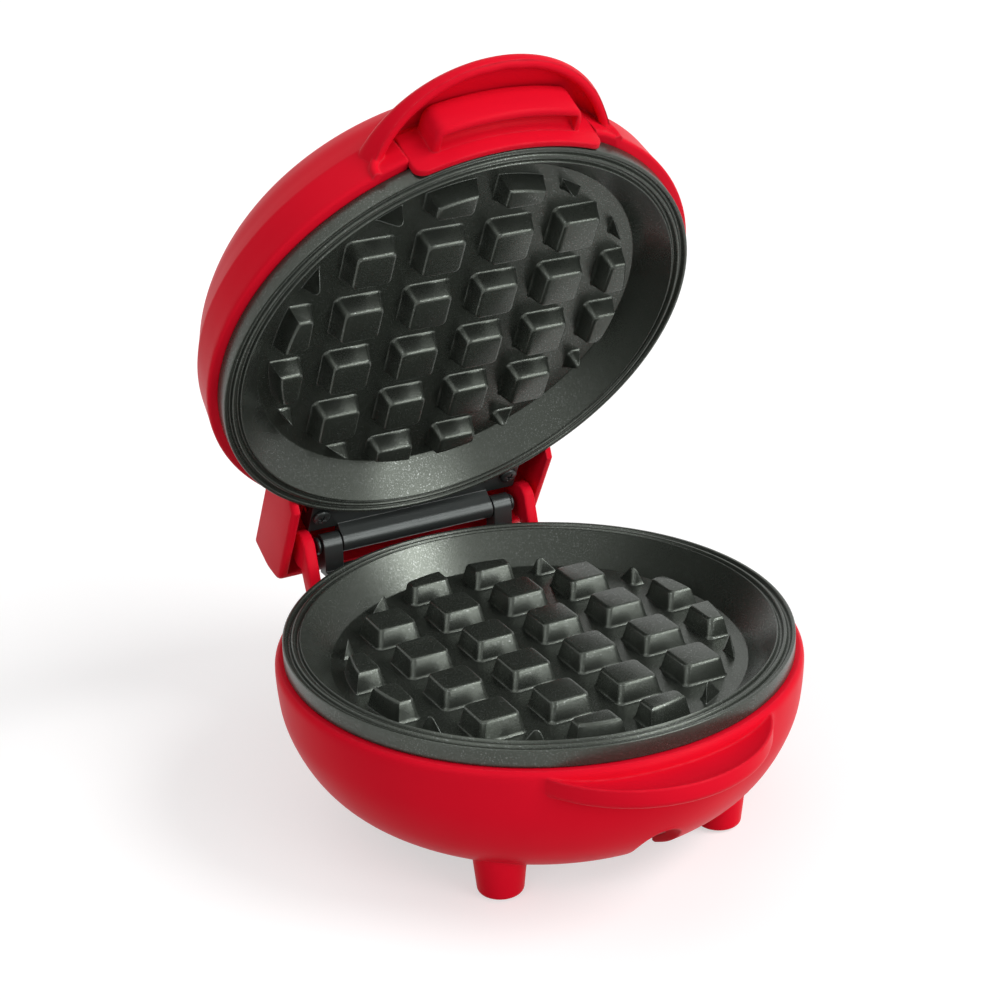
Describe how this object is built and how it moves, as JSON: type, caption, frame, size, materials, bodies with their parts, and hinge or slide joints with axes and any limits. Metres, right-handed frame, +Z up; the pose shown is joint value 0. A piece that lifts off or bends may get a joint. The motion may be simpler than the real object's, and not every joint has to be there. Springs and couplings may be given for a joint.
{
  "type": "mini waffle maker",
  "caption": "Round countertop waffle maker with a hinged domed lid, hooded finger grip, studded cooking plates and a footed bowl base, shown open.",
  "frame": {"origin": "on the surface that the feet stand on, under the centre of the open object's bounding box", "axes": "+Z up and the longest extent with the lid open as stored; -Y the front, where the finger lip is; +X to the right, along the hinge pin and the shortest extent"},
  "size_m": [0.1452, 0.1854, 0.2062],
  "materials": {
    "red_plastic": "moulded red plastic with a satin gloss",
    "nonstick_coating": "cast aluminium under a dark non-stick coating with a fine metallic fleck",
    "black_coated_steel": "black coated sheet steel",
    "bright_steel": "plated steel",
    "element_sheath": "oxidised metal sheath",
    "dark_rubber": "matt rubber",
    "white_ceramic": "unglazed ceramic",
    "brown_resin": "moulded resin",
    "amber_lens": "clear amber plastic",
    "lamp_glass": "clear glass"
  },
  "bodies": {
    "base": {"lower_housing": "red_plastic", "foot_pad_front_left": "dark_rubber", "foot_pad_front_right": "dark_rubber", "foot_pad_rear_left": "dark_rubber", "foot_pad_rear_right": "dark_rubber", "lower_plate": "nonstick_coating", "lower_heating_element": "element_sheath", "lower_reflector": "bright_steel", "lower_plate_screw_1": "bright_steel", "lower_plate_screw_2": "bright_steel", "lower_plate_screw_3": "bright_steel", "lower_hinge_bracket": "black_coated_steel", "hinge_pin": "black_coated_steel", "lower_hinge_screw_left": "black_coated_steel", "lower_hinge_screw_right": "black_coated_steel", "cord_bush": "dark_rubber", "thermostat": "brown_resin", "thermal_fuse": "white_ceramic", "terminal_block": "white_ceramic"},
    "lid": {"upper_housing": "red_plastic", "grip_insert": "red_plastic", "upper_plate": "nonstick_coating", "upper_heating_element": "element_sheath", "upper_reflector": "bright_steel", "upper_plate_screw_1": "bright_steel", "upper_plate_screw_2": "bright_steel", "upper_plate_screw_3": "bright_steel", "upper_hinge_bracket": "black_coated_steel", "upper_hinge_screw_left": "black_coated_steel", "upper_hinge_screw_right": "black_coated_steel", "pilot_lens": "amber_lens", "pilot_lamp": "lamp_glass"}
  },
  "joints": [
    {"name": "lid_hinge", "type": "hinge", "parent": "base", "child": "lid", "pos_m": [0, 0.06948, 0.0536], "axis": [-1, 0, 0], "range_deg": [-60.94, 40]}
  ]
}
